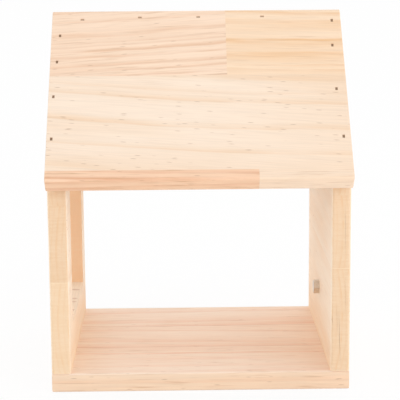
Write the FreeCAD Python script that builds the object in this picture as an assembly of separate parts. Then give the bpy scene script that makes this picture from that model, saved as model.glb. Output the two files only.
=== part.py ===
"""Gabled pine nest box: base, two side walls and a two-slope roof, open at front and back.

X runs across the front, Y from front to back and Z up. The origin is the middle of the base's underside.
All sizes are in millimetres. Every panel is glued up from staves, and brads hold the panels together.
"""
import FreeCAD, Part
import math
import os

Vector = FreeCAD.Vector

# Panels
WIDTH = 155.0           # base and roof, side to side
DEPTH = 131.0           # base and walls, front to back
BASE_THICK = 10.0
WALL_THICK = 10.0
ROOF_THICK = 10.0
WALL_HEIGHT = 104.0     # walls above the base, at their front and rear edges
ROOF_PITCH = 45.0       # degrees
FRONT_OVERHANG = 13.5   # front eave's outer edge, forward of the walls
REAR_OVERHANG = 13.5
EDGE_EASE = 1.5         # rounding along the panels' long bare edges
END_EASE = 0.5          # lighter rounding round the panels' cut ends

# Staves of the glued panels: the last stave of each panel takes what is left
BASE_FRONT_STAVE = 47.5
LEFT_LOWER_STAVE = 49.0
RIGHT_LOWER_STAVE = 55.0
ROOF_UPPER_STAVE = 45.3
ROOF_EAVE_STAVE = 6.0
UPPER_BUTT_X = 15.5     # end joint between the two upper staves of the front slope
EAVE_BUTT_X = 30.0      # end joint between the two eave staves
REAR_BUTT_X = -20.0     # end joint in the rear slope's lower stave
REAR_UPPER_STAVE = 60.0

# Window through the left wall
POST_WIDTH = 22.0       # wall left in front of the window, and behind it
SILL_HEIGHT = 21.5      # wall left under the window, above the base
WINDOW_HEIGHT = 80.0
WINDOW_CORNER = 1.0

# Brads: flat T-headed wire nails, sunk a little below the wood
BRAD_LENGTH = 20.0
BRAD_WIDE = 1.25
BRAD_THIN = 1.0
BRAD_HEAD_LONG = 2.0
BRAD_HEAD_WIDE = 1.25
BRAD_HEAD_THICK = 0.8
BRAD_POINT = 1.5
BRAD_SINK = 0.4

# Rows of brads: each step is a brad's place between the row's first and last brad, as they were driven by hand
FRONT_LEFT_FIRST = 17.6     # from the ridge, down the slope
FRONT_LEFT_STEPS = (0.0, 0.263, 0.602, 1.0)
FRONT_LEFT_INSETS = (4.6, 3.6, 2.6, 2.6)        # from the roof's side edge
FRONT_RIGHT_FIRST = 8.4
FRONT_RIGHT_STEPS = (0.0, 0.223, 0.603, 1.0)
FRONT_RIGHT_INSETS = (4.8, 5.6, 5.4, 3.8)
REAR_FIRST = 34.0
REAR_STEPS = (0.0, 0.46, 1.0)
REAR_INSETS = (4.6, 4.9, 4.4)
SLOPE_LAST = 16.8           # last brad of a slope's row, short of the wall's end
RIDGE_LEFT_INSET = 16.2
RIDGE_RIGHT_INSET = 42.2
RIDGE_STEPS = (0.0, 0.319, 0.644, 1.0)
RIDGE_DROPS = (1.5, 0.2, 0.2, 0.2)              # below the middle of the rear slope's upper edge
BASE_BRAD_INSET = 15.0      # first and last brad under a wall, from the base's front and rear
BASE_STEPS = (0.0, 0.5, 1.0)

# Hanging bolt through the right wall, an M4 hexagon bolt with its washer and nut outside
BOLT_HEIGHT = 28.8      # axis above the base
BOLT_DIAMETER = 4.0
BOLT_LENGTH = 16.0
BOLT_END_BEVEL = 0.5
HEX_FLATS = 7.0
HEX_BEVEL = 0.5
HEAD_THICK = 3.2
NUT_THICK = 3.2
WASHER_DIAMETER = 9.0
WASHER_THICK = 0.8
WALL_CLEARANCE = 0.25   # round the bolt, in the wall
WASHER_CLEARANCE = 0.15
THREAD_CLEARANCE = 0.05

PAST = 1.0              # how far a cutter runs past the face that it opens

# Levels and slope directions that follow from the sizes above
HALF_WIDTH = WIDTH / 2
HALF_DEPTH = DEPTH / 2
INNER_X = HALF_WIDTH - WALL_THICK
PITCH = math.radians(ROOF_PITCH)
WALL_TOP = BASE_THICK + WALL_HEIGHT
WALL_APEX = WALL_TOP + HALF_DEPTH * math.tan(PITCH)
RIDGE = Vector(0, 0, WALL_APEX + ROOF_THICK / math.cos(PITCH))
FRONT_DOWN = Vector(0, -math.cos(PITCH), -math.sin(PITCH))
FRONT_OUT = Vector(0, -math.sin(PITCH), math.cos(PITCH))
REAR_DOWN = Vector(0, math.cos(PITCH), -math.sin(PITCH))
REAR_OUT = Vector(0, math.sin(PITCH), math.cos(PITCH))
FRONT_SLOPE = (HALF_DEPTH + FRONT_OVERHANG) / math.cos(PITCH)
REAR_SLOPE = (HALF_DEPTH + REAR_OVERHANG) / math.cos(PITCH)
LAP = ROOF_THICK / math.sin(2 * PITCH)      # rear slope covered by the front panel's upper edge
WALL_END = HALF_DEPTH / math.cos(PITCH) + ROOF_THICK * math.tan(PITCH)  # down the slope, over the wall's end
RIGHT = Vector(1, 0, 0)


def block(low, high):
    """Box between two corners."""
    return Part.makeBox(*(high - low), low)


def prism(points, x_low, x_high):
    """Outline in the YZ plane, extruded across from x_low to x_high."""
    outline = Part.makePolygon([Vector(x_low, p.y, p.z) for p in points + points[:1]])
    return Part.Face(outline).extrude(RIGHT * (x_high - x_low))


def slope_strip(down, out, start, end, x_low, x_high):
    """Cutter for the part of a roof slope between two distances from the ridge."""
    above = RIDGE + out * PAST
    below = RIDGE - out * (ROOF_THICK + PAST)
    corners = [above + down * start, above + down * end, below + down * end, below + down * start]
    return prism(corners, x_low, x_high)


def eased(panel):
    """Panel that lies across, with its long edges rounded and its ends rounded a little."""
    long_edges = [edge for edge in panel.Edges if edge.BoundBox.XLength > PAST]
    panel = panel.makeFillet(EDGE_EASE, long_edges)
    end_edges = [edge for edge in panel.Edges if edge.BoundBox.XLength < PAST]
    return panel.makeFillet(END_EASE, end_edges)


def base_panel():
    low = Vector(-HALF_WIDTH, -HALF_DEPTH, 0)
    return eased(block(low, Vector(HALF_WIDTH, HALF_DEPTH, BASE_THICK)))


def base_staves():
    panel = base_panel()
    first = -HALF_DEPTH + BASE_FRONT_STAVE
    second = (first + HALF_DEPTH) / 2
    lines = [-HALF_DEPTH - PAST, first, second, HALF_DEPTH + PAST]
    staves = {}
    for name, start, end in zip(("front", "middle", "rear"), lines, lines[1:]):
        low = Vector(-HALF_WIDTH - PAST, start, -PAST)
        high = Vector(HALF_WIDTH + PAST, end, BASE_THICK + PAST)
        staves["base_%s_stave" % name] = panel.common(block(low, high))
    return staves


def wall_panel(x_low):
    """Gable wall standing on the base, with its upright edges eased."""
    outline = [
        Vector(0, -HALF_DEPTH, BASE_THICK),
        Vector(0, HALF_DEPTH, BASE_THICK),
        Vector(0, HALF_DEPTH, WALL_TOP),
        Vector(0, 0, WALL_APEX),
        Vector(0, -HALF_DEPTH, WALL_TOP),
    ]
    wall = prism(outline, x_low, x_low + WALL_THICK)
    upright = [edge for edge in wall.Edges if edge.BoundBox.XLength + edge.BoundBox.YLength < EDGE_EASE]
    return wall.makeFillet(EDGE_EASE, upright)


def wall_strips(lower_stave):
    """Stave names with their lowest and highest levels: the staves above the lowest one are equal."""
    first = BASE_THICK + lower_stave
    step = (WALL_APEX - first) / 3
    levels = [BASE_THICK, first, first + step, first + 2 * step, WALL_APEX]
    return list(zip(("lower", "middle", "upper", "peak"), levels, levels[1:]))


def wall_stave(wall, low_z, high_z, low_y=-HALF_DEPTH - PAST, high_y=HALF_DEPTH + PAST):
    low = Vector(-HALF_WIDTH - PAST, low_y, low_z)
    high = Vector(HALF_WIDTH + PAST, high_y, high_z)
    return wall.common(block(low, high))


def window():
    """Cutter for the window, with round corners, through the left wall."""
    sill = BASE_THICK + SILL_HEIGHT
    low = Vector(-HALF_WIDTH - PAST, -HALF_DEPTH + POST_WIDTH, sill)
    high = Vector(-INNER_X + PAST, HALF_DEPTH - POST_WIDTH, sill + WINDOW_HEIGHT)
    opening = block(low, high)
    across = [edge for edge in opening.Edges if edge.BoundBox.XLength > WALL_THICK]
    return opening.makeFillet(WINDOW_CORNER, across)


def left_wall_staves():
    """The window parts the middle stave into a front post and a rear post."""
    wall = wall_panel(-HALF_WIDTH).cut(window())
    staves = {}
    for name, low_z, high_z in wall_strips(LEFT_LOWER_STAVE):
        if name == "middle":
            staves["left_wall_front_post"] = wall_stave(wall, low_z, high_z, high_y=0)
            staves["left_wall_rear_post"] = wall_stave(wall, low_z, high_z, low_y=0)
        else:
            staves["left_wall_%s_stave" % name] = wall_stave(wall, low_z, high_z)
    return staves


def bolt_hole():
    start = Vector(INNER_X - PAST, 0, BASE_THICK + BOLT_HEIGHT)
    return Part.makeCylinder(BOLT_DIAMETER / 2 + WALL_CLEARANCE, WALL_THICK + 2 * PAST, start, RIGHT)


def right_wall_staves():
    wall = wall_panel(INNER_X).cut(bolt_hole())
    staves = {}
    for name, low_z, high_z in wall_strips(RIGHT_LOWER_STAVE):
        staves["right_wall_%s_stave" % name] = wall_stave(wall, low_z, high_z)
    return staves


def front_roof_panel():
    """Front slope: its upper edge laps over the rear slope, flush with that slope's outer face."""
    eave = RIDGE + FRONT_DOWN * FRONT_SLOPE
    outline = [RIDGE, eave, eave - FRONT_OUT * ROOF_THICK, RIDGE + REAR_DOWN * LAP]
    return eased(prism(outline, -HALF_WIDTH, HALF_WIDTH))


def front_roof_staves():
    panel = front_roof_panel()
    left = -HALF_WIDTH - PAST
    right = HALF_WIDTH + PAST
    top = -ROOF_THICK
    first = ROOF_UPPER_STAVE
    second = FRONT_SLOPE - ROOF_EAVE_STAVE
    end = FRONT_SLOPE + PAST
    strips = {
        "front_roof_upper_left_stave": (top, first, left, UPPER_BUTT_X),
        "front_roof_upper_right_stave": (top, first, UPPER_BUTT_X, right),
        "front_roof_middle_stave": (first, second, left, right),
        "front_roof_eave_left_stave": (second, end, left, EAVE_BUTT_X),
        "front_roof_eave_right_stave": (second, end, EAVE_BUTT_X, right),
    }
    return {name: panel.common(slope_strip(FRONT_DOWN, FRONT_OUT, *strip)) for name, strip in strips.items()}


def rear_roof_panel():
    """Rear slope: its upper edge butts against the underside of the front slope."""
    eave = RIDGE + REAR_DOWN * REAR_SLOPE
    outline = [RIDGE + REAR_DOWN * LAP, eave, eave - REAR_OUT * ROOF_THICK, Vector(0, 0, WALL_APEX)]
    return eased(prism(outline, -HALF_WIDTH, HALF_WIDTH))


def rear_roof_staves():
    panel = rear_roof_panel()
    left = -HALF_WIDTH - PAST
    right = HALF_WIDTH + PAST
    end = REAR_SLOPE + PAST
    strips = {
        "rear_roof_upper_stave": (-ROOF_THICK, REAR_UPPER_STAVE, left, right),
        "rear_roof_lower_left_stave": (REAR_UPPER_STAVE, end, left, REAR_BUTT_X),
        "rear_roof_lower_right_stave": (REAR_UPPER_STAVE, end, REAR_BUTT_X, right),
    }
    return {name: panel.common(slope_strip(REAR_DOWN, REAR_OUT, *strip)) for name, strip in strips.items()}


def between(first, last, steps):
    return [first + (last - first) * step for step in steps]


class Brad:
    """One brad, driven in against out at a point of the surface, with its head's long side along a direction."""

    def __init__(self, point, along, out):
        self.place = FreeCAD.Placement(point, FreeCAD.Rotation(along, out.cross(along), out, "ZXY"))

    def solid(self):
        tip = -BRAD_SINK - BRAD_LENGTH
        half = BRAD_WIDE / 2
        outline = [
            Vector(-half, -BRAD_THIN / 2, -BRAD_SINK),
            Vector(half, -BRAD_THIN / 2, -BRAD_SINK),
            Vector(half, -BRAD_THIN / 2, tip + BRAD_POINT),
            Vector(0, -BRAD_THIN / 2, tip),
            Vector(-half, -BRAD_THIN / 2, tip + BRAD_POINT),
        ]
        shank = Part.Face(Part.makePolygon(outline + outline[:1])).extrude(Vector(0, BRAD_THIN, 0))
        brad = shank.fuse(self.head_block(-BRAD_SINK - BRAD_HEAD_THICK, -BRAD_SINK)).removeSplitter()
        brad.Placement = self.place
        return brad

    def cutter(self):
        """What the brad takes from the wood, with the pocket that its sunk head leaves."""
        pocket = self.head_block(-BRAD_SINK, PAST)
        pocket.Placement = self.place
        return self.solid().fuse(pocket)

    def head_block(self, low, high):
        half_long = BRAD_HEAD_LONG / 2
        half_wide = BRAD_HEAD_WIDE / 2
        return block(Vector(-half_long, -half_wide, low), Vector(half_long, half_wide, high))


def slope_row(down, out, first, steps, insets, side):
    """Brads through one roof slope at the top edge of one wall: side is -1 on the left, 1 on the right."""
    brads = []
    for distance, inset in zip(between(first, WALL_END - SLOPE_LAST, steps), insets):
        point = RIDGE + down * distance + RIGHT * (side * (HALF_WIDTH - inset))
        brads.append(Brad(point, down, out))
    return brads


def ridge_row():
    """Brads through the front slope's upper edge into the rear slope's, along that slope."""
    places = between(-HALF_WIDTH + RIDGE_LEFT_INSET, HALF_WIDTH - RIDGE_RIGHT_INSET, RIDGE_STEPS)
    brads = []
    for x, drop in zip(places, RIDGE_DROPS):
        point = RIDGE + FRONT_DOWN * (LAP / 2 + drop) + RIGHT * x
        brads.append(Brad(point, RIGHT, -REAR_DOWN))
    return brads


def base_row(side):
    """Brads up through the base into the middle of one wall's thickness."""
    x = side * (HALF_WIDTH - WALL_THICK / 2)
    places = between(-HALF_DEPTH + BASE_BRAD_INSET, HALF_DEPTH - BASE_BRAD_INSET, BASE_STEPS)
    return [Brad(Vector(x, y, 0), Vector(0, 1, 0), Vector(0, 0, -1)) for y in places]


def brad_rows():
    front_left = (FRONT_DOWN, FRONT_OUT, FRONT_LEFT_FIRST, FRONT_LEFT_STEPS, FRONT_LEFT_INSETS, -1)
    front_right = (FRONT_DOWN, FRONT_OUT, FRONT_RIGHT_FIRST, FRONT_RIGHT_STEPS, FRONT_RIGHT_INSETS, 1)
    rear = (REAR_DOWN, REAR_OUT, REAR_FIRST, REAR_STEPS, REAR_INSETS)
    return {
        "front_roof_left_brads": slope_row(*front_left),
        "front_roof_right_brads": slope_row(*front_right),
        "ridge_brads": ridge_row(),
        "rear_roof_left_brads": slope_row(*rear, -1),
        "rear_roof_right_brads": slope_row(*rear, 1),
        "base_left_brads": base_row(-1),
        "base_right_brads": base_row(1),
    }


def hexagon(start_x, thick, bevel_near, bevel_far):
    """Hexagon on the bolt's axis, one corner to the front, with its bevelled ends turned round."""
    axis = Vector(start_x, 0, BASE_THICK + BOLT_HEIGHT)
    corner = HEX_FLATS / math.sqrt(3)
    points = []
    for i in range(6):
        angle = math.radians(60 * i)
        points.append(axis + Vector(0, corner * math.cos(angle), corner * math.sin(angle)))
    bar = prism(points, start_x, start_x + thick)
    turned = Part.makeCylinder(corner, thick, axis, RIGHT)
    ends = [edge for edge in turned.Edges if isinstance(edge.Curve, Part.Circle)]
    ends.sort(key=lambda edge: edge.Curve.Center.x)
    bevelled = [edge for edge, wanted in zip(ends, (bevel_near, bevel_far)) if wanted]
    return bar.common(turned.makeChamfer(HEX_BEVEL, bevelled))


def bolt():
    start = Vector(INNER_X, 0, BASE_THICK + BOLT_HEIGHT)
    shank = Part.makeCylinder(BOLT_DIAMETER / 2, BOLT_LENGTH, start, RIGHT)
    far_end = max(shank.Edges, key=lambda edge: edge.CenterOfMass.x)
    shank = shank.makeChamfer(BOLT_END_BEVEL, [far_end])
    return shank.fuse(hexagon(INNER_X - HEAD_THICK, HEAD_THICK, True, False)).removeSplitter()


def ring(start_x, outer, clearance, thick):
    start = Vector(start_x, 0, BASE_THICK + BOLT_HEIGHT)
    hole = Part.makeCylinder(BOLT_DIAMETER / 2 + clearance, thick, start, RIGHT)
    return Part.makeCylinder(outer, thick, start, RIGHT).cut(hole)


def nut():
    start_x = HALF_WIDTH + WASHER_THICK
    start = Vector(start_x, 0, BASE_THICK + BOLT_HEIGHT)
    thread = Part.makeCylinder(BOLT_DIAMETER / 2 + THREAD_CLEARANCE, NUT_THICK, start, RIGHT)
    return hexagon(start_x, NUT_THICK, True, True).cut(thread)


def bored(stave, cutters):
    """Stave with the holes of the brads that reach it."""
    for cutter in cutters:
        if stave.BoundBox.intersect(cutter.BoundBox):
            stave = stave.cut(cutter)
    return stave


def main():
    wood = {}
    for staves in (base_staves(), left_wall_staves(), right_wall_staves(), front_roof_staves(), rear_roof_staves()):
        wood.update(staves)
    rows = brad_rows()
    cutters = [brad.cutter() for row in rows.values() for brad in row]
    pieces = {name: bored(stave, cutters) for name, stave in wood.items()}
    for name, row in rows.items():
        pieces[name] = Part.makeCompound([brad.solid() for brad in row])
    pieces["hanging_bolt"] = bolt()
    pieces["hanging_bolt_washer"] = ring(HALF_WIDTH, WASHER_DIAMETER / 2, WASHER_CLEARANCE, WASHER_THICK)
    pieces["hanging_bolt_nut"] = nut()
    os.makedirs("parts", exist_ok=True)
    for name, shape in pieces.items():
        shape.exportStep("parts/%s.step" % name)
        print(name, len(shape.Solids), shape.isValid(), round(shape.Volume, 1))


main()
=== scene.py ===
"""Looks of a gabled pine nest box: planed pine staves, steel brads, a zinc-plated bolt and a pale studio.

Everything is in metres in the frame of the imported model: X across the front, Y from front to back, Z up.
"""
import math
from collections import namedtuple
from functools import partial

import bmesh
import bpy
from bpy.props import FloatProperty, FloatVectorProperty, PointerProperty
from mathutils import Matrix, Vector


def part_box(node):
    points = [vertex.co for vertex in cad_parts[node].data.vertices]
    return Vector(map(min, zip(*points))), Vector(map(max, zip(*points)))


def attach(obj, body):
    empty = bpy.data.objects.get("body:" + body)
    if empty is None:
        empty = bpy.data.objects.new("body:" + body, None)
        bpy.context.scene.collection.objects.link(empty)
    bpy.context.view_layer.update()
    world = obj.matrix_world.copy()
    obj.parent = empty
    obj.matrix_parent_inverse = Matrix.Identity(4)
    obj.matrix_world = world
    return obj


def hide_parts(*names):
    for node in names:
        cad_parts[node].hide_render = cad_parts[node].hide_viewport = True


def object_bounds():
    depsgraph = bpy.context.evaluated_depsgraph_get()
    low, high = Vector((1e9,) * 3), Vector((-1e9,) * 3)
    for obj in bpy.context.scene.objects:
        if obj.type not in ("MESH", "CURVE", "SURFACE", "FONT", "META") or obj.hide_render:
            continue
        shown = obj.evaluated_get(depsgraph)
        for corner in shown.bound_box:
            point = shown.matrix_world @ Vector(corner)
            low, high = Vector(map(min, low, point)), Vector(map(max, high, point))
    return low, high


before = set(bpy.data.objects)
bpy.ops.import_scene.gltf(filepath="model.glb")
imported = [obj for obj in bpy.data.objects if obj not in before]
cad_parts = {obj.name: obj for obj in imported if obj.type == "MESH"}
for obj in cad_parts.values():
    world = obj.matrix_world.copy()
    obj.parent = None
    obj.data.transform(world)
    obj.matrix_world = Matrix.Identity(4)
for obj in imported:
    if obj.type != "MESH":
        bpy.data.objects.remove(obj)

CAD_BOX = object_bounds()

bl_info = {
    "name": "Pine nest box",
    "version": (1, 0, 0),
    "blender": (4, 5, 0),
    "location": "3D View > Sidebar > Nest box",
    "description": "Dresses the packed nest box in pine, steel and zinc, and sets it in a pale studio",
    "category": "Object",
}

MM = 0.001              # metres in a millimetre
PER_METRE = 1 / MM      # millimetres in a metre
IMAGE_PIXELS = 400
SENSOR_WIDTH = 36.0     # millimetres
ROOF_PITCH = math.radians(45)
WHITE = (1, 1, 1, 1)


def linear(hex_colour):
    """Linear RGB of an sRGB hex colour."""
    channels = [int(hex_colour[i:i + 2], 16) / 255 for i in (1, 3, 5)]
    return [c / 12.92 if c <= 0.04045 else ((c + 0.055) / 1.055) ** 2.4 for c in channels]


def colour(name, description, hex_colour):
    """Colour setting with its default."""
    return FloatVectorProperty(
        name=name, description=description, subtype="COLOR", min=0, max=1, default=linear(hex_colour))


def length(name, description, millimetres):
    """Length setting with its default."""
    return FloatProperty(
        name=name, description=description, unit="LENGTH", min=0, precision=5, default=millimetres * MM)


class NestBoxPine(bpy.types.PropertyGroup):
    """Colours of the pine staves, and the sizes of what shows in the wood."""

    cream_early: colour("Cream earlywood", "Pale part of a growth ring in the palest staves", "#FAE6D2")
    cream_late: colour("Cream latewood", "Dark part of a growth ring in the palest staves", "#ECC69E")
    rosy_early: colour("Rosy earlywood", "Pale part of a growth ring in the pinkish staves", "#FADFC7")
    rosy_late: colour("Rosy latewood", "Dark part of a growth ring in the pinkish staves", "#E6BB98")
    honey_early: colour("Honey earlywood", "Pale part of a growth ring in the yellow staves", "#F9DEC2")
    honey_late: colour("Honey latewood", "Dark part of a growth ring in the yellow staves", "#EDBF8E")
    russet_early: colour("Russet earlywood", "Pale part of a growth ring in the reddest stave", "#F9D5B7")
    russet_late: colour("Russet latewood", "Dark part of a growth ring in the reddest stave", "#DDA27C")
    straw_early: colour("Straw earlywood", "Pale part of a growth ring in the walls", "#FFF2E0")
    straw_late: colour("Straw latewood", "Dark part of a growth ring in the walls", "#F2C898")
    blush_early: colour("Blush earlywood", "Pale part of a growth ring in the base", "#FFEDDC")
    blush_late: colour("Blush latewood", "Dark part of a growth ring in the base", "#F2C2A2")
    end_grain: colour("End grain", "Cut ends, where the open fibres look darker", "#E6C29B")
    pale_ends: colour("Pale end grain", "Cut ends of the left wall's lower stave", "#EDCCA6")
    # Painted shade: the window cut colour gives end grain inside the window the warmer orange that shade and
    # bounced light give it.
    shaded_window_cut: colour("Window cut", "Cut ends inside a panel, browned by the cutter", "#F4C8A0")
    # Painted shade: the crack colour is torn wood darkened for the shade deep inside the cracks.
    crack: colour("Cracks", "Torn wood inside cracks", "#C49C7A")
    saw_mark: colour("Saw marks", "Scuffed wood in the marks that the saw left on the sill", "#F2DCC8")
    streak: colour("Streaks", "Thin brown streaks along the grain", "#CDA27C")
    resin: colour("Resin canals", "Short brown dashes along the grain", "#A67C5A")
    dry_glue: colour("Dry glue", "Pale line of glue between two staves", "#FDEAD2")
    dark_seam: colour("Dark seam", "Shaded line where two staves of the base meet", "#C99A78")
    fibre_width: length(
        "Fibre width", "Bundles of fibres, drawn coarser than the real ones so that they show", 0.6)
    fibre_length: length("Fibre length", "How far a bundle of fibres runs before it fades", 22)
    canal_length: length("Resin canal length", "Length of one resin dash", 4.4)
    canal_width: length("Resin canal width", "Width of one resin dash, drawn coarser so that it shows", 0.5)
    saw_pitch: length("Saw pitch", "Spacing of the saw's marks on cut ends", 1.1)
    seam_width: length("Seam width", "Width of the line where two staves meet", 0.5)


class NestBoxMetal(bpy.types.PropertyGroup):
    """Colours of the fasteners, and the grain of their finish."""

    brad_steel: colour("Brad steel", "Dull steel of the brads", "#A98C70")
    brad_rust: colour("Brad tarnish", "Brown tarnish on the brads", "#6E543E")
    wood_dust: colour("Wood dust", "Dust that sanding left on sunk heads", "#E9CFB4")
    zinc: colour("Zinc plate", "Warm grey zinc plate", "#E8E2D8")
    zinc_dull: colour("Dull zinc", "Dull patches in the zinc plate", "#CFC6BA")
    tarnish_size: length("Tarnish patches", "Size of the patches of tarnish on a brad", 0.5)
    spangle_size: length("Zinc patches", "Size of the dull patches in the plate", 1.2)


class NestBoxStage(bpy.types.PropertyGroup):
    """The floor, the studio light and the camera."""

    floor_colour: colour("Floor", "Pale floor under the nest box", "#FCFCFC")
    floor_size: length("Floor size", "Side of the square floor", 16000)
    floor_lift: length("Floor lift", "How far the floor lies above the base's underside", 0.05)
    wall_strength: FloatProperty(
        name="Tent walls", description="Strength of the light from the tent's front and sides",
        min=0, default=1.04)
    back_strength: FloatProperty(
        name="Tent back", description="Strength of the light from the tent's back", min=0, default=1.57)
    top_strength: FloatProperty(
        name="Tent top", description="Strength of the light from the tent's top", min=0, default=0.62)
    wall_height: FloatProperty(
        name="Wall height", description="Height above the horizon at which the tent's walls begin to fade",
        subtype="ANGLE", default=math.radians(40))
    top_height: FloatProperty(
        name="Top height", description="Height above the horizon at which the tent's top begins",
        subtype="ANGLE", default=math.radians(62))
    key_power: FloatProperty(
        name="Key lamp", description="Power of the large soft lamp on the right",
        unit="POWER", min=0, default=5.6)
    fill_power: FloatProperty(
        name="Fill lamp", description="Power of the large soft lamp on the left",
        unit="POWER", min=0, default=1.5)
    lamp_size: length("Lamp size", "Side of each square lamp", 1200)
    lamp_place: FloatVectorProperty(
        name="Lamp place", description="Where the right lamp stands; the left one mirrors it",
        subtype="TRANSLATION", unit="LENGTH", default=(1.2, -0.8, 0.4))
    shadow_share: FloatProperty(
        name="Shadow share", description="How much of the floor's shading the camera sees",
        subtype="FACTOR", min=0, max=1, default=0.1)
    camera_place: FloatVectorProperty(
        name="Camera place", description="Where the camera stands",
        subtype="TRANSLATION", unit="LENGTH", default=(-0.0101, -0.8063, 0.2454))
    camera_turn: FloatProperty(
        name="Turn", description="How far the camera looks to the right", subtype="ANGLE", default=0.014)
    camera_dip: FloatProperty(
        name="Dip", description="How far the camera looks down", subtype="ANGLE", default=0.1918)
    camera_roll: FloatProperty(
        name="Roll", description="How far the camera leans to the right", subtype="ANGLE", default=0.0077)
    focal_pixels: FloatProperty(
        name="Focal length", description="Focal length in pixels of the square image", min=1, default=1483.1)


# Panels: a point of the outer face, the way the grain runs, and the way across it. Depth runs into the
# wood. A wall's outer face and its cut ends have figures of their own, and its outer face goes some way
# towards the colour of latewood: painted shade that tones down the strong light falling on the walls.
Panel = namedtuple(
    "Panel", "origin along across outer_figure end_figure mellowing", defaults=(None, None, 0))
RIGHT = Vector((1, 0, 0))
BACK = Vector((0, 1, 0))
UP = Vector((0, 0, 1))
FRONT_SLOPE_DOWN = Vector((0, -math.cos(ROOF_PITCH), -math.sin(ROOF_PITCH)))
REAR_SLOPE_DOWN = Vector((0, math.cos(ROOF_PITCH), -math.sin(ROOF_PITCH)))
RIDGE = UP * CAD_BOX[1].z
BASE_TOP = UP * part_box("base_front_stave")[1].z
LEFT_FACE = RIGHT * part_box("left_wall_lower_stave")[0].x
RIGHT_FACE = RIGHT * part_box("right_wall_lower_stave")[1].x
PANELS = {
    "base": Panel(BASE_TOP, RIGHT, -BACK),
    # The walls' outer shade is painted shade, strongest on the right wall, which faces the key lamp.
    "left_wall": Panel(LEFT_FACE, BACK, UP, "flame", "upright", mellowing=0.3),
    "right_wall": Panel(RIGHT_FACE, -BACK, UP, "flame", "upright", mellowing=0.55),
    "front_roof": Panel(RIDGE, RIGHT, FRONT_SLOPE_DOWN),
    "rear_roof": Panel(RIDGE, -RIGHT, REAR_SLOPE_DOWN),
}

# Figures: what a log's growth rings look like. A band of latewood begins softly at one place, is strongest
# at a second and ends over the figure's ending. Places are in millimetres away from the log's middle, and
# the bands start again after each period. Wander bends them, and breaks fade them here and there along the
# grain. Streaks and canals are how much of those there is, and edges is how far a stave's long edges, which
# are sawn, go towards the colour of end grain.
Figure = namedtuple("Figure", "period bands ending wander breaks streaks canals edges", defaults=(0, 0, 0))
FIGURES = {
    "close": Figure(
        48, ((0.5, 3.0, 0.4), (9.5, 12.3, 0.75), (15.5, 17, 0.35), (18.4, 19.6, 0.45), (21, 23.1, 0.8),
             (25, 27, 0.7), (30, 32.9, 0.65), (34.8, 36.8, 0.65), (38.6, 40.8, 0.75), (42.5, 44.4, 0.55)),
        ending=0.7, wander=5.0, breaks=0.9, streaks=0.5, canals=0.3, edges=0.1),
    "bold": Figure(
        48, ((1, 6, 0.45), (7, 9.5, 0.4), (9.5, 17.2, 0.75), (20.8, 26, 0.95), (31, 39.5, 0.6),
             (42.5, 45.4, 0.7)),
        ending=1.1, wander=4.0, breaks=0.8, streaks=0.3, edges=0.1),
    "wide": Figure(
        76, ((0, 9.5, 0.42), (16.5, 18.5, 0.25), (20.5, 24.3, 0.52), (37, 40.8, 0.6), (52.6, 55.8, 0.5),
             (67, 70, 0.3)),
        ending=0.7, wander=4.0, breaks=0.6, streaks=0.12, canals=0.9, edges=0.1),
    "streaky": Figure(
        12, ((0.5, 2.4, 0.6), (4, 5.5, 0.75), (6.2, 7.6, 0.6), (9, 11, 0.7)),
        ending=0.5, wander=2.0, breaks=0.6, streaks=0.9, canals=0.5, edges=0.1),
    "even": Figure(
        44, ((1, 4, 0.35), (8, 11.5, 0.4), (16, 19, 0.3), (24, 27.5, 0.45), (33, 36, 0.35), (40, 43, 0.3)),
        ending=0.5, wander=4.0, breaks=0.7, streaks=0.6, canals=0.2, edges=0.1),
    "soft": Figure(
        140, ((7, 10.5, 0.35), (23, 32, 0.4), (32, 41, 0.6)),
        ending=0.8, wander=4.0, breaks=0.5, streaks=0.5, canals=0.2, edges=0.1),
    "edge": Figure(
        24, ((0.5, 1.6, 0.2), (2, 2.5, 0.7), (4, 5.5, 0.2), (8, 9.5, 0.3), (11.5, 13, 0.25), (14.5, 15, 0.1),
             (15.9, 18.6, 0.55), (20, 21, 0.15)),
        ending=0.6, wander=1.2, breaks=0.5, streaks=0.6, canals=0.55, edges=0.5),
    "flat": Figure(
        11, ((0.4, 1.6, 0.06), (3.2, 4.3, 0.05), (5.8, 7, 0.07), (8.6, 9.6, 0.05)),
        ending=1.0, wander=0.7, breaks=0.5, streaks=0.1, canals=0.1, edges=0.25),
    # This figure's wide first band is painted shade: latewood colour that darkens the lower wall staves
    # towards the floor, where shade and bounced light gather; its later bands are faint rings.
    "rings_and_foot_shade": Figure(
        130, ((0, 28, 0.55), (82, 84, 0.05), (95, 97.5, 0.05), (104, 106, 0.05), (112, 115, 0.05)),
        ending=1.0, wander=3.0, breaks=0.3, streaks=0.12, canals=0.1, edges=0.05),
    "flame": Figure(
        11, ((0.4, 2, 0.7), (3.2, 4.3, 0.45), (5.8, 7.4, 0.8), (8.6, 9.6, 0.45)),
        ending=0.5, wander=5.0, breaks=0.6),
    "upright": Figure(
        11, ((0.6, 1.8, 1), (3.4, 4.2, 0.6), (6, 7.2, 1), (8.8, 9.5, 0.6)),
        ending=0.4, wander=1.2, breaks=0.8),
}
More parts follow.
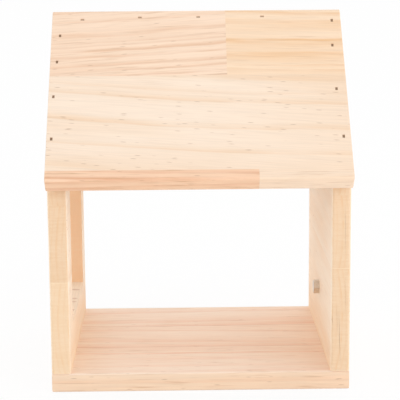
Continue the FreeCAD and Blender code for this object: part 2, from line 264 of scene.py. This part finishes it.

# Staves: each is sawn from its own log. The pith is the log's middle, given across the panel and into it,
# and the figure starts at a place across the panel's outer face. The lean is how far the log drifts across
# the panel in each millimetre along the grain, and the bow is how far its rings bend at the bow's reach from
# the middle. Lengths are in millimetres. Ends is the colour of the cut ends, the warming and shade is how
# far the colour goes towards the latewood's at the far end, and the seam is what shows along the stave's
# long edges. On the base's staves that is painted shade, darkening the floor towards the right wall; on two
# roof staves it warms them towards their right ends.
Stave = namedtuple(
    "Stave", "tone figure pith start lean bow ends warming seam", defaults=(0, 0, "end_grain", 0, None))
BOW_REACH = 100
STAVES = {
    # On the base, the warming and shade darkens each stave towards the right wall with painted shade.
    "base_front_stave": Stave("blush", "edge", (-20, -200), 18, warming=0.18, seam="dark_seam"),
    "base_middle_stave": Stave("blush", "soft", (-160, 50), -24, lean=0.03, warming=0.18, seam="dark_seam"),
    "base_rear_stave": Stave("blush", "soft", (-200, 50), -66, lean=-0.05, warming=0.18, seam="dark_seam"),
    # The lower wall staves take the figure whose first band is painted shade near the floor.
    "left_wall_lower_stave": Stave("straw", "rings_and_foot_shade", (150, 20), 38, ends="pale_ends", seam="dry_glue"),
    "left_wall_front_post": Stave("straw", "flat", (75, 120), 75, lean=0.01),
    "left_wall_rear_post": Stave("straw", "flat", (75, 120), 75, lean=0.01),
    "left_wall_upper_stave": Stave("straw", "flat", (120, 110), 120, lean=0.01),
    "left_wall_peak_stave": Stave("straw", "flat", (150, 150), 150, lean=0.01),
    "right_wall_lower_stave": Stave("straw", "rings_and_foot_shade", (150, 20), 38, seam="dry_glue"),
    "right_wall_middle_stave": Stave("straw", "flat", (86, 130), 86, lean=0.01),
    "right_wall_upper_stave": Stave("straw", "flat", (125, 110), 125, lean=0.01),
    "right_wall_peak_stave": Stave("straw", "flat", (155, 140), 155, lean=0.01),
    "front_roof_upper_left_stave": Stave("rosy", "close", (-200, 40), 0, lean=-0.075),
    "front_roof_upper_right_stave": Stave("honey", "bold", (300, 40), 46, lean=0.035),
    "front_roof_middle_stave": Stave("cream", "wide", (-160, 60), 36, lean=0.08, bow=4, warming=0.22),
    "front_roof_eave_left_stave": Stave("russet", "streaky", (60, 45), 104, lean=0.02),
    "front_roof_eave_right_stave": Stave("cream", "even", (30, 60), 100, lean=-0.02, warming=0.2),
    "rear_roof_upper_stave": Stave("cream", "wide", (-160, 55), 0, lean=0.03, bow=4),
    "rear_roof_lower_left_stave": Stave("honey", "bold", (-150, 45), 60, lean=-0.03, bow=2),
    "rear_roof_lower_right_stave": Stave("rosy", "close", (-150, 40), 60, lean=0.04),
}

# Sizes of patches in the wood, in millimetres along the grain, across it and into it: what bends and fades
# the rings, swarms of resin dashes, flushes of warmer colour, and streaks.
SWAY_PATCH = (90, 30, 30)
RIPPLE_PATCH = (25, 7, 7)
BREAK_PATCH = (45, 3.5, 3.5)
SWARM_PATCH = (50, 6, 6)
FLUSH_PATCH = (120, 16, 16)
STREAK_PATCH = (22, 0.8, 0.8)

# More sizes in the wood, in millimetres: how deep a bundle of fibres is, how far a saw's mark runs across a
# cut end and along the grain, the depths between which the outer face's own look fades out, how deep the
# middle of the rings on a wall's cut ends lies, and how near to its panel's end a cut belongs to that end.
FIBRE_DEPTH = 1
SAW_STROKE = 9
SAW_DEPTH = 30
OUTER_SKIN = (0.2, 0.6)
END_PITH_DEPTH = 130
END_MARGIN = 5

# Grooves: cracks and saw marks in the wood. Each follows points on a face, and is widest and deepest in its
# middle. Lengths are in millimetres.
Groove = namedtuple("Groove", "points out width depth")
FRONT_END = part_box("right_wall_lower_stave")[0].y * PER_METRE
RIGHT_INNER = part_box("right_wall_lower_stave")[0].x * PER_METRE
LEFT_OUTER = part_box("left_wall_lower_stave")[0].x * PER_METRE
SILL_HEIGHT = 31.5
SILL_MARK_DEPTH = 0.3


def crack(width, depth, *places):
    """Crack in the right wall's front end, through places across the wall from its inner face, and up."""
    points = [(RIGHT_INNER + across, FRONT_END, up) for across, up in places]
    return Groove(points, -BACK, width, depth)


def sill_mark(place, width):
    """Saw mark across the window's sill, at a place from front to back, drifting a little on its way."""
    path = ((3, 0), (5.5, 0.3), (8, 0), (9.5, -0.2))
    points = [(LEFT_OUTER + across, place + drift, SILL_HEIGHT) for across, drift in path]
    return Groove(points, UP, width, SILL_MARK_DEPTH)


RIGHT_LOWER_CRACKS = (
    crack(0.14, 0.6, (4.2, 44), (4.3, 38), (4.5, 32), (4.6, 26), (5.0, 20), (5.1, 14)),
    crack(0.1, 0.4, (3.0, 46), (3.1, 41), (3.4, 35), (3.5, 29)),
    crack(0.08, 0.3, (7.3, 62), (7.2, 56), (7.5, 48), (7.6, 40)),
    crack(0.2, 0.4, (0.3, 42), (0.7, 39.5), (1.0, 37), (0.9, 34)),
)
RIGHT_MIDDLE_CRACKS = (crack(0.1, 0.4, (6.8, 101), (7.0, 92), (7.2, 86), (7.2, 80), (7.1, 70)),)
SILL_MARKS = (
    sill_mark(27, 3.6),
    sill_mark(7, 3.4),
    sill_mark(0, 2.8),
    sill_mark(-17, 3.2),
    sill_mark(-27, 2.8),
)


def add_node(tree, kind, inputs=None, output=0, **settings):
    """Adds a shader node, sets its settings and inputs, and gives back one of its outputs.

    An input is a value or another node's socket.
    """
    node = tree.nodes.new("ShaderNode" + kind)
    for name, value in settings.items():
        setattr(node, name, value)
    for name, value in (inputs or {}).items():
        if isinstance(value, bpy.types.NodeSocket):
            tree.links.new(value, node.inputs[name])
        else:
            node.inputs[name].default_value = value
    return node.outputs[output] if node.outputs else None


def new_material(name):
    """Empty material, and the function that adds nodes to it."""
    material = bpy.data.materials.new(name)
    material.use_nodes = True
    material.node_tree.nodes.clear()
    return material, partial(add_node, material.node_tree)


def opaque(value):
    """Colour setting with full alpha."""
    return (*value, 1.0)


def layered(add, ground, layers):
    """Colour of a ground with other colours laid over it in turn, each by its own share."""
    for share, tint in layers:
        # Sockets 6 and 7 of the node are the two colours, and output 2 is the mixed one.
        ground = add("Mix", {"Factor": share, 6: ground, 7: tint}, output=2, data_type="RGBA")
    return ground


def into_wood(panel):
    """Direction from a panel's outer face into the wood."""
    return panel.along.cross(panel.across)


def place_in(add, origin, along, across):
    """Place in millimetres from an origin: along the grain, across it and into the wood."""
    along = along.normalized()
    depth = along.cross(across).normalized()
    turned = Matrix((along, depth.cross(along), depth))
    inputs = {
        "Vector": add("TexCoord", output="Object"),
        "Location": turned @ origin * -PER_METRE,
        "Rotation": turned.to_euler(),
        "Scale": (PER_METRE, PER_METRE, PER_METRE),
    }
    return add("Mapping", inputs)


def log_place(add, panel, stave):
    """Place in the log that a stave was sawn from, in millimetres from its pith."""
    pith = panel.origin + (panel.across * stave.pith[0] + into_wood(panel) * stave.pith[1]) * MM
    return place_in(add, pith, panel.along + panel.across * stave.lean, panel.across)


def grain_noise(add, place, size, detail=2.0):
    """Noise from 0 to 1, in patches of a size along the grain, across it and into the wood."""
    squeezed = add("VectorMath", {0: place, 1: [1 / side for side in size]}, operation="MULTIPLY")
    return add("TexNoise", {"Vector": squeezed, "Scale": 1.0, "Detail": detail})


def patchy(add, place, size, levels, values, detail=2.0):
    """Value in patches: it goes from the first value to the second as noise rises between two levels."""
    noise = grain_noise(add, place, size, detail)
    return add("MapRange", {"Value": noise, "From Min": levels[0], "From Max": levels[1],
                            "To Min": values[0], "To Max": values[1]})


def square_faces(add, direction):
    """1 on faces that look along a direction or against it, fading out round their eased edges."""
    normal = add("TexCoord", output="Normal")
    facing = add("VectorMath", {0: normal, 1: direction}, "Value", operation="DOT_PRODUCT")
    squareness = add("Math", {0: facing}, operation="ABSOLUTE")
    return add("MapRange", {"Value": squareness, "From Min": 0.6, "From Max": 0.9},
               interpolation_type="SMOOTHSTEP")


def extent(name, panel, direction):
    """Where a node begins and ends along a direction, in millimetres from its panel's origin."""
    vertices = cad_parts[name].data.vertices
    reaches = [(vertex.co - panel.origin).dot(direction) * PER_METRE for vertex in vertices]
    return min(reaches), max(reaches)


def growth_rings(add, panel, stave, figure):
    """Share of latewood, from 0 to 1: bands that follow the log's rings and fade here and there."""
    log = log_place(add, panel, stave)
    cross_section = add("VectorMath", {0: log, 1: (0, 1, 1)}, operation="MULTIPLY")
    radius = add("VectorMath", {0: cross_section}, "Value", operation="LENGTH")
    along = add("SeparateXYZ", {0: log}, "X")
    along_squared = add("Math", {0: along, 1: along}, operation="MULTIPLY")
    bow = stave.bow / BOW_REACH ** 2
    bent = add("Math", {0: along_squared, 1: bow, 2: radius}, operation="MULTIPLY_ADD")
    for patch, reach in ((SWAY_PATCH, figure.wander), (RIPPLE_PATCH, figure.wander / 2)):
        wave = add("Math", {0: grain_noise(add, log, patch), 1: 0.5}, operation="SUBTRACT")
        bent = add("Math", {0: wave, 1: reach, 2: bent}, operation="MULTIPLY_ADD")
    start = math.hypot(stave.start - stave.pith[0], stave.pith[1])
    beyond = add("Math", {0: bent, 1: start}, operation="SUBTRACT")
    turns = add("Math", {0: beyond, 1: figure.period}, operation="DIVIDE")
    bands = add("ValToRGB", {"Fac": add("Math", {0: turns}, operation="FRACT")})
    stops = bands.node.color_ramp.elements
    stops[1].color = stops[0].color
    for begin, end, strength in figure.bands:
        for place, share in ((begin, 0), (end, strength), (end + figure.ending, 0)):
            stops.new(place / figure.period).color = (share, share, share, 1)
    fade = patchy(add, log, BREAK_PATCH, levels=(0.35, 0.6), values=(1 - figure.breaks, 1))
    return add("Math", {0: bands, 1: fade}, operation="MULTIPLY")


def shown_rings(add, panel, stave, outer, ends):
    """Share of latewood that shows, with the panel's own figures on its outer face and its cut ends."""
    rings = growth_rings(add, panel, stave, FIGURES[stave.figure])
    end_stave = stave._replace(pith=(stave.start, END_PITH_DEPTH))
    for share, sawn, figure in ((outer, stave, panel.outer_figure), (ends, end_stave, panel.end_figure)):
        if figure:
            own_rings = growth_rings(add, panel, sawn, FIGURES[figure])
            rings = add("Mix", {"Factor": share, "A": rings, "B": own_rings})
    return rings


def resin_canals(add, log, rings, figure, settings):
    """Share of resin: short dashes in loose swarms, most of them in latewood, each in its own cell."""
    dash_reach = 0.24      # half of a dash, as a share of its cell
    darkness = 0.5
    long = settings.canal_length * PER_METRE / (2 * dash_reach)
    wide = settings.canal_width * PER_METRE / (2 * dash_reach)
    squeezed = add("VectorMath", {0: log, 1: (1 / long, 1 / wide, 1 / wide)}, operation="MULTIPLY")
    distance = add("TexVoronoi", {"Vector": squeezed, "Scale": 1.0}, "Distance")
    chance = add("SeparateColor", {"Color": distance.node.outputs["Color"]}, "Red")
    crowding = add("MapRange", {"Value": rings, "From Max": 0.15, "To Min": 0.45})
    swarm = patchy(add, log, SWARM_PATCH, levels=(0.3, 0.55), values=(0, figure.canals))
    swarmed = add("Math", {0: swarm, 1: crowding}, operation="MULTIPLY")
    there = add("Math", {0: add("Math", {0: chance, 1: swarmed}), 1: 1.0}, operation="GREATER_THAN")
    dash = add("MapRange", {"Value": distance, "From Min": dash_reach, "From Max": dash_reach / 3,
                            "To Max": darkness}, interpolation_type="SMOOTHSTEP")
    return add("Math", {0: dash, 1: there}, operation="MULTIPLY")


def seams(add, place, name, panel, stave, settings):
    """Share of seam: a thin line along both long edges, of dry glue on cut ends or of shade on faces."""
    low, high = extent(name, panel, panel.across)
    middle = (low + high) / 2
    half = (high - low) / 2
    width = settings.seam_width * PER_METRE
    toward = panel.along if stave.seam == "dry_glue" else into_wood(panel)
    offset = add("Math", {0: add("SeparateXYZ", {0: place}, "Y"), 1: middle}, operation="SUBTRACT")
    distance = add("Math", {0: offset}, operation="ABSOLUTE")
    line = add("MapRange", {"Value": distance, "From Min": half - width, "From Max": half, "To Max": 0.5},
               interpolation_type="SMOOTHSTEP")
    return add("Math", {0: line, 1: square_faces(add, toward)}, operation="MULTIPLY")


def inner_cuts(add, place, name, panel):
    """1 where a cut lies well inside the panel, as a window's does, and 0 towards the panel's own ends."""
    low, high = extent(name, panel, panel.along)
    reach = max(-low, high) - END_MARGIN
    distance = add("Math", {0: add("SeparateXYZ", {0: place}, "X")}, operation="ABSOLUTE")
    return add("Math", {0: distance, 1: reach}, operation="LESS_THAN")


# Grain: what a stave's wood is worked out from. These are the places in its log and on its panel, its rings
# and fibres, and where its outer face and its cut ends are.
Grain = namedtuple("Grain", "log place rings fibres outer ends")


def grain_of(add, panel, stave, settings):
    """Grain of one stave."""
    log = log_place(add, panel, stave)
    place = place_in(add, panel.origin, panel.along, panel.across)
    fibre_size = (settings.fibre_length * PER_METRE, settings.fibre_width * PER_METRE, FIBRE_DEPTH)
    fibres = grain_noise(add, log, fibre_size)
    depth = add("SeparateXYZ", {0: place}, "Z")
    outer = add("MapRange", {"Value": depth, "From Min": OUTER_SKIN[0], "From Max": OUTER_SKIN[1],
                             "To Min": 1.0, "To Max": 0.0})
    ends = square_faces(add, panel.along)
    rings = shown_rings(add, panel, stave, outer, ends)
    return Grain(log, place, rings, fibres, outer, ends)


def planed_colour(add, grain, name, panel, stave, settings):
    """Colour of planed wood: rings, warmer parts, painted shade, sawn long edges, streaks, fibres and resin.
    """
    figure = FIGURES[stave.figure]
    early = opaque(getattr(settings, stave.tone + "_early"))
    late = opaque(getattr(settings, stave.tone + "_late"))
    flush = patchy(add, grain.log, FLUSH_PATCH, levels=(0.4, 0.75), values=(0, 0.3))
    # Painted shade on the base's staves, darker towards the right wall; on two roof staves a warming towards
    # their right ends.
    along = add("SeparateXYZ", {0: grain.place}, "X")
    far_end = extent(name, panel, panel.along)[1]
    warming = add("MapRange", {"Value": along, "From Max": far_end, "To Max": stave.warming})
    # Painted shade on the walls' outer faces, which go towards latewood by their panel's outer shade.
    outer_shaded = add("Math", {0: grain.outer, 1: panel.mellowing}, operation="MULTIPLY")
    edges = add("Math", {0: square_faces(add, panel.across), 1: figure.edges}, operation="MULTIPLY")
    streaks = patchy(add, grain.log, STREAK_PATCH, levels=(0.58, 0.75), values=(0, figure.streaks))
    grown = [(share, late) for share in (grain.rings, flush, warming, outer_shaded)]
    worked = [(edges, opaque(settings.end_grain)), (streaks, opaque(settings.streak))]
    wood = layered(add, early, grown + worked)
    shade = add("MapRange", {"Value": grain.fibres, "From Min": 0.3, "From Max": 0.7,
                             "To Min": 0.96, "To Max": 1.03})
    shaded = add("VectorMath", {0: wood, 1: shade}, operation="MULTIPLY")
    resin = resin_canals(add, grain.log, grain.rings, figure, settings)
    return layered(add, shaded, [(resin, opaque(settings.resin))])


def cut_layers(add, grain, name, panel, stave, settings):
    """Colours of saw and glue on a stave, with their shares: cut ends, seams, and painted shade on window
    cuts.
    """
    mark_size = (SAW_DEPTH, settings.saw_pitch * PER_METRE, SAW_STROKE)
    marks = patchy(add, grain.place, mark_size, levels=(0.35, 0.65), values=(0.74, 0.86), detail=1.0)
    sawn = add("Math", {0: marks, 1: grain.ends}, operation="MULTIPLY")
    # Painted shade: cuts well inside a panel, the window's jambs, go towards the window cut colour.
    window_shade = add("Math", {0: sawn, 1: inner_cuts(add, grain.place, name, panel)}, operation="MULTIPLY")
    layers = [(sawn, opaque(getattr(settings, stave.ends)))]
    if stave.seam:
        seam = seams(add, grain.place, name, panel, stave, settings)
        layers.append((seam, opaque(getattr(settings, stave.seam))))
    layers.append((window_shade, opaque(settings.shaded_window_cut)))
    return layers


def pine(name, panel, stave, settings):
    """Planed pine, left bare.

    Its growth rings fade from cream to orange and end more sharply, with fine fibres, thin streaks and short
    resin dashes along the grain, and on cut ends the rings in section with the saw's marks across them.
    """
    material, add = new_material("planed pine " + name.replace("_", " "))
    grain = grain_of(add, panel, stave, settings)
    planed = planed_colour(add, grain, name, panel, stave, settings)
    wood = layered(add, planed, cut_layers(add, grain, name, panel, stave, settings))
    roughness = add("MapRange", {"Value": grain.fibres, "To Min": 0.58, "To Max": 0.72})
    relief = add("Math", {0: grain.fibres, 1: 0.5, 2: grain.rings}, operation="MULTIPLY_ADD")
    bump = add("Bump", {"Height": relief, "Strength": 0.15, "Distance": 0.2 * MM})
    shader = add("BsdfPrincipled", {"Base Color": wood, "Roughness": roughness, "Normal": bump, "IOR": 1.5,
                                    "Specular IOR Level": 0.3})
    add("OutputMaterial", {"Surface": shader})
    return material


def torn_pine_and_crack_shade(tone, settings):
    """Torn pine in cracks and saw marks: dull, uneven along the tear, and in cracks darkened by painted
    shade.
    """
    material, add = new_material("bruised pine " + tone.replace("_", " "))
    place = add("TexCoord", output="Object")
    patches = add("TexNoise", {"Vector": place, "Scale": 1 / settings.canal_length, "Detail": 3.0})
    share = add("MapRange", {"Value": patches, "To Max": 0.5})
    wood = layered(add, opaque(getattr(settings, tone)), [(share, opaque(settings.streak))])
    shader = add("BsdfPrincipled", {"Base Color": wood, "Roughness": 0.8, "Specular IOR Level": 0.2})
    add("OutputMaterial", {"Surface": shader})
    return material


def brad_steel(name, dust_share, settings):
    """Drawn steel wire gone dull: brown-grey, with patches of tarnish, a soft sheen and wood dust on it."""
    material, add = new_material(name)
    place = add("TexCoord", output="Object")
    patches = add("TexNoise", {"Vector": place, "Scale": 1 / settings.tarnish_size, "Detail": 3.0})
    dust = add("MapRange", {"Value": patches, "To Max": 2 * dust_share})
    layers = [(patches, opaque(settings.brad_rust)), (dust, opaque(settings.wood_dust))]
    dusted = layered(add, opaque(settings.brad_steel), layers)
    shine = add("MapRange", {"Value": dust, "To Min": 0.5, "To Max": 0.0})
    roughness = add("MapRange", {"Value": patches, "To Min": 0.4, "To Max": 0.75})
    bump = add("Bump", {"Height": patches, "Strength": 0.3, "Distance": 0.05 * MM})
    shader = add("BsdfPrincipled", {"Base Color": dusted, "Metallic": shine, "Roughness": roughness,
                                    "Normal": bump})
    add("OutputMaterial", {"Surface": shader})
    return material


def zinc_plate(settings):
    """Zinc-plated steel: a warm grey metal, a little blurred, with duller patches in the plate."""
    material, add = new_material("zinc-plated steel")
    place = add("TexCoord", output="Object")
    patches = add("TexNoise", {"Vector": place, "Scale": 1 / settings.spangle_size, "Detail": 4.0})
    metal = layered(add, opaque(settings.zinc), [(patches, opaque(settings.zinc_dull))])
    roughness = add("MapRange", {"Value": patches, "To Min": 0.28, "To Max": 0.5})
    bump = add("Bump", {"Height": patches, "Strength": 0.15, "Distance": 0.05 * MM})
    shader = add("BsdfPrincipled", {"Base Color": metal, "Metallic": 1.0, "Roughness": roughness,
                                    "Normal": bump})
    add("OutputMaterial", {"Surface": shader})
    return material


def dress(piece, material):
    """Gives a piece its material all over."""
    for slot in piece.material_slots:
        slot.material = material


def groove_mesh(grooves):
    """Cutters for grooves: each is a wedge along its points, narrow at both ends, rising above the face."""
    cutter = bmesh.new()
    lift = 0.2              # millimetres above the face
    end_fullness = 0.15     # share of the full width and depth that is left at both ends
    for points, out, width, depth in grooves:
        points = [Vector(point) for point in points]
        across = (points[-1] - points[0]).cross(out).normalized()
        sections = []
        for i, point in enumerate(points):
            swell = math.sin(math.pi * i / (len(points) - 1))
            fullness = end_fullness + (1 - end_fullness) * swell
            half = across * (width / 2 * fullness * (1 + lift / depth))
            corners = (point + half + out * lift, point - half + out * lift, point - out * depth * fullness)
            sections.append([cutter.verts.new(corner * MM) for corner in corners])
        for near, far in zip(sections, sections[1:]):
            for i in range(len(near)):
                cutter.faces.new((near[i - 1], near[i], far[i], far[i - 1]))
        cutter.faces.new(sections[0])
        cutter.faces.new(sections[-1])
    bmesh.ops.recalc_face_normals(cutter, faces=cutter.faces)
    mesh = bpy.data.meshes.new("grooves")
    cutter.to_mesh(mesh)
    cutter.free()
    return mesh


def welded(mesh):
    """Copy of a mesh with doubled corners joined and stored normals dropped, so that it can be cut."""
    weld_distance = 0.001 * MM
    joined = bmesh.new()
    joined.from_mesh(mesh)
    bmesh.ops.remove_doubles(joined, verts=joined.verts, dist=weld_distance)
    copy = bpy.data.meshes.new(mesh.name)
    joined.to_mesh(copy)
    joined.free()
    copy.attributes.remove(copy.attributes["custom_normal"])
    return copy


def cut_grooves(node, grooves, wood, torn_wood_and_shade):
    """Makes a piece that stands for a node: its wood outside, and torn wood in the grooves, darkened in
    cracks by painted shade.
    """
    sharp_edge = math.radians(40)
    piece = bpy.data.objects.new("grooved_" + node, welded(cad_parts[node].data))
    cutter = bpy.data.objects.new("groove_cutter", groove_mesh(grooves))
    for obj, material in ((piece, wood), (cutter, torn_wood_and_shade)):
        obj.data.materials.append(material)
        bpy.context.collection.objects.link(obj)
    cut = piece.modifiers.new("grooves", "BOOLEAN")
    cut.object = cutter
    cut.material_mode = "TRANSFER"
    cut_piece = piece.evaluated_get(bpy.context.evaluated_depsgraph_get())
    piece.data = bpy.data.meshes.new_from_object(cut_piece)
    piece.modifiers.clear()
    bpy.data.objects.remove(cutter)
    piece.data.shade_smooth()
    piece.data.set_sharp_from_angle(angle=sharp_edge)
    piece.modifiers.new("even shading", "WEIGHTED_NORMAL").keep_sharp = True
    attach(piece, "root")
    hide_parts(node)


class PanelDresser:
    """What the panels' operators share: each stave of one panel gets a pine of its own."""

    panel = ""
    grooves = {}
    groove_tone = "crack"

    def execute(self, context):
        settings = context.scene.nest_box_pine
        names = [name for name in STAVES if name.startswith(self.panel)]
        if not names:
            raise RuntimeError("no staves belong to " + self.panel)
        torn_wood_and_shade = torn_pine_and_crack_shade(self.groove_tone, settings) if self.grooves else None
        for name in names:
            wood = pine(name, PANELS[self.panel], STAVES[name], settings)
            if name in self.grooves:
                cut_grooves(name, self.grooves[name], wood, torn_wood_and_shade)
            else:
                dress(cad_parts[name], wood)
        return {"FINISHED"}


class NESTBOX_OT_base(PanelDresser, bpy.types.Operator):
    """Dress the three staves of the base"""

    bl_idname = "nestbox.base"
    bl_label = "Base"
    panel = "base"


class NESTBOX_OT_left_wall(PanelDresser, bpy.types.Operator):
    """Dress the staves and posts of the left wall, round its window"""

    bl_idname = "nestbox.left_wall"
    bl_label = "Left wall"
    panel = "left_wall"
    grooves = {"left_wall_lower_stave": SILL_MARKS}
    groove_tone = "saw_mark"


class NESTBOX_OT_right_wall(PanelDresser, bpy.types.Operator):
    """Dress the staves of the right wall"""

    bl_idname = "nestbox.right_wall"
    bl_label = "Right wall"
    panel = "right_wall"
    grooves = {
        "right_wall_lower_stave": RIGHT_LOWER_CRACKS,
        "right_wall_middle_stave": RIGHT_MIDDLE_CRACKS,
    }


class NESTBOX_OT_front_roof(PanelDresser, bpy.types.Operator):
    """Dress the staves of the front slope"""

    bl_idname = "nestbox.front_roof"
    bl_label = "Front slope"
    panel = "front_roof"


class NESTBOX_OT_rear_roof(PanelDresser, bpy.types.Operator):
    """Dress the staves of the rear slope"""

    bl_idname = "nestbox.rear_roof"
    bl_label = "Rear slope"
    panel = "rear_roof"


class NESTBOX_OT_brads(bpy.types.Operator):
    """Dress all rows of brads"""

    bl_idname = "nestbox.brads"
    bl_label = "Brads"

    def execute(self, context):
        settings = context.scene.nest_box_metal
        bare = brad_steel("tarnished steel wire", dust_share=0.1, settings=settings)
        dusted = brad_steel("dusty steel wire", dust_share=0.45, settings=settings)
        for name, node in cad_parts.items():
            if name.endswith("_brads"):
                dress(node, dusted if name.startswith("ridge") else bare)
        return {"FINISHED"}


class NESTBOX_OT_bolt(bpy.types.Operator):
    """Dress the hanging bolt with its washer and nut"""

    bl_idname = "nestbox.bolt"
    bl_label = "Hanging bolt"

    def execute(self, context):
        material = zinc_plate(context.scene.nest_box_metal)
        for name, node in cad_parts.items():
            if name.startswith("hanging_bolt"):
                dress(node, material)
        return {"FINISHED"}


def seen_ray(add):
    """1 on rays that show the stage to the eye, straight or mirrored, and 0 on rays that carry light."""
    path = add("LightPath").node.outputs
    seen = add("Math", {0: path["Is Camera Ray"], 1: path["Is Glossy Ray"]}, operation="MAXIMUM")
    return add("Math", {0: seen, 1: path["Is Transmission Ray"]}, operation="MAXIMUM")


def studio_floor(settings):
    """Matt white paper: almost white to the eye, with the faint shadow of what stands on it."""
    material, add = new_material("matt white paper")
    matt = add("BsdfDiffuse", {"Color": opaque(settings.floor_colour)})
    white = add("Emission", {"Color": WHITE, "Strength": 1.0})
    share = add("Math", {0: seen_ray(add), 1: 1 - settings.shadow_share}, operation="MULTIPLY")
    paper = add("MixShader", {"Fac": share, 1: matt, 2: white})
    below = add("NewGeometry", output="Backfacing")
    shader = add("MixShader", {"Fac": below, 1: paper, 2: add("BsdfTransparent")})
    add("OutputMaterial", {"Surface": shader})
    return material


def lay_floor(settings):
    """Floor a hair above the base's underside, so that the two faces never lie in one plane."""
    lift = settings.floor_lift
    half = settings.floor_size / 2
    corners = [(-half, -half, lift), (half, -half, lift), (half, half, lift), (-half, half, lift)]
    mesh = bpy.data.meshes.new("floor")
    mesh.from_pydata(corners, [], [(0, 1, 2, 3)])
    mesh.materials.append(studio_floor(settings))
    floor = bpy.data.objects.new("floor", mesh)
    bpy.context.collection.objects.link(floor)


def light_tent(settings):
    """Light tent: soft light, most from its back and least from its top, while the eye sees white."""
    world = bpy.data.worlds.new("light tent")
    world.use_nodes = True
    world.node_tree.nodes.clear()
    add = partial(add_node, world.node_tree)
    direction = add("SeparateXYZ", {0: add("TexCoord", output="Generated")}).node.outputs
    walls = add("MapRange", {"Value": direction["Y"], "To Min": settings.wall_strength,
                             "To Max": settings.back_strength}, interpolation_type="SMOOTHSTEP")
    strength = add("MapRange", {"Value": direction["Z"], "From Min": math.sin(settings.wall_height),
                                "From Max": math.sin(settings.top_height), "To Min": walls,
                                "To Max": settings.top_strength}, interpolation_type="SMOOTHSTEP")
    cloth = add("Background", {"Color": WHITE, "Strength": strength})
    white = add("Background", {"Color": WHITE, "Strength": 1.0})
    add("OutputWorld", {"Surface": add("MixShader", {"Fac": seen_ray(add), 1: cloth, 2: white})})
    bpy.context.scene.world = world


def place_lamp(name, power, place, size):
    """Large soft lamp beside the tent, aimed at the middle of the nest box."""
    light = bpy.data.lights.new(name, "AREA")
    light.energy = power
    light.size = size
    lamp = bpy.data.objects.new(name, light)
    lamp.location = place
    middle = (CAD_BOX[0] + CAD_BOX[1]) / 2
    lamp.rotation_euler = (middle - place).to_track_quat("-Z", "Y").to_euler()
    lamp.visible_camera = False
    bpy.context.collection.objects.link(lamp)


def set_camera(settings):
    """Camera in front of the nest box, looking a little down on it."""
    lens = bpy.data.cameras.new("camera")
    lens.sensor_width = SENSOR_WIDTH
    lens.lens = settings.focal_pixels / IMAGE_PIXELS * SENSOR_WIDTH
    camera = bpy.data.objects.new("camera", lens)
    turn = Matrix.Rotation(-settings.camera_turn, 4, "Z")
    dip = Matrix.Rotation(math.pi / 2 - settings.camera_dip, 4, "X")
    roll = Matrix.Rotation(-settings.camera_roll, 4, "Z")
    camera.matrix_world = Matrix.Translation(settings.camera_place) @ turn @ dip @ roll
    bpy.context.collection.objects.link(camera)
    bpy.context.scene.camera = camera


class NESTBOX_OT_stage(bpy.types.Operator):
    """Lay the floor, light the studio and set the camera"""

    bl_idname = "nestbox.stage"
    bl_label = "Stage"

    def execute(self, context):
        settings = context.scene.nest_box_stage
        lay_floor(settings)
        light_tent(settings)
        right_place = settings.lamp_place
        left_place = right_place * Vector((-1, 1, 1))
        place_lamp("key lamp", settings.key_power, right_place, settings.lamp_size)
        place_lamp("fill lamp", settings.fill_power, left_place, settings.lamp_size)
        set_camera(settings)
        context.scene.view_settings.view_transform = "Standard"
        return {"FINISHED"}


PIECE_OPERATORS = (
    NESTBOX_OT_base,
    NESTBOX_OT_left_wall,
    NESTBOX_OT_right_wall,
    NESTBOX_OT_front_roof,
    NESTBOX_OT_rear_roof,
    NESTBOX_OT_brads,
    NESTBOX_OT_bolt,
    NESTBOX_OT_stage,
)


class NESTBOX_PT_sidebar(bpy.types.Panel):
    """Lists the nest box's pieces and its stage"""

    bl_idname = "NESTBOX_PT_sidebar"
    bl_label = "Nest box"
    bl_space_type = "VIEW_3D"
    bl_region_type = "UI"
    bl_category = "Nest box"

    def draw(self, context):
        for operator in PIECE_OPERATORS:
            self.layout.operator(operator.bl_idname)


CLASSES = (NestBoxPine, NestBoxMetal, NestBoxStage, *PIECE_OPERATORS, NESTBOX_PT_sidebar)


def register():
    for cls in CLASSES:
        bpy.utils.register_class(cls)
    bpy.types.Scene.nest_box_pine = PointerProperty(type=NestBoxPine)
    bpy.types.Scene.nest_box_metal = PointerProperty(type=NestBoxMetal)
    bpy.types.Scene.nest_box_stage = PointerProperty(type=NestBoxStage)


def unregister():
    del bpy.types.Scene.nest_box_stage
    del bpy.types.Scene.nest_box_metal
    del bpy.types.Scene.nest_box_pine
    for cls in reversed(CLASSES):
        bpy.utils.unregister_class(cls)


def main():
    """Registers the classes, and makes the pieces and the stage."""
    register()
    bpy.ops.nestbox.base()
    bpy.ops.nestbox.left_wall()
    bpy.ops.nestbox.right_wall()
    bpy.ops.nestbox.front_roof()
    bpy.ops.nestbox.rear_roof()
    bpy.ops.nestbox.brads()
    bpy.ops.nestbox.bolt()
    bpy.ops.nestbox.stage()


if __name__ == "__main__":
    main()
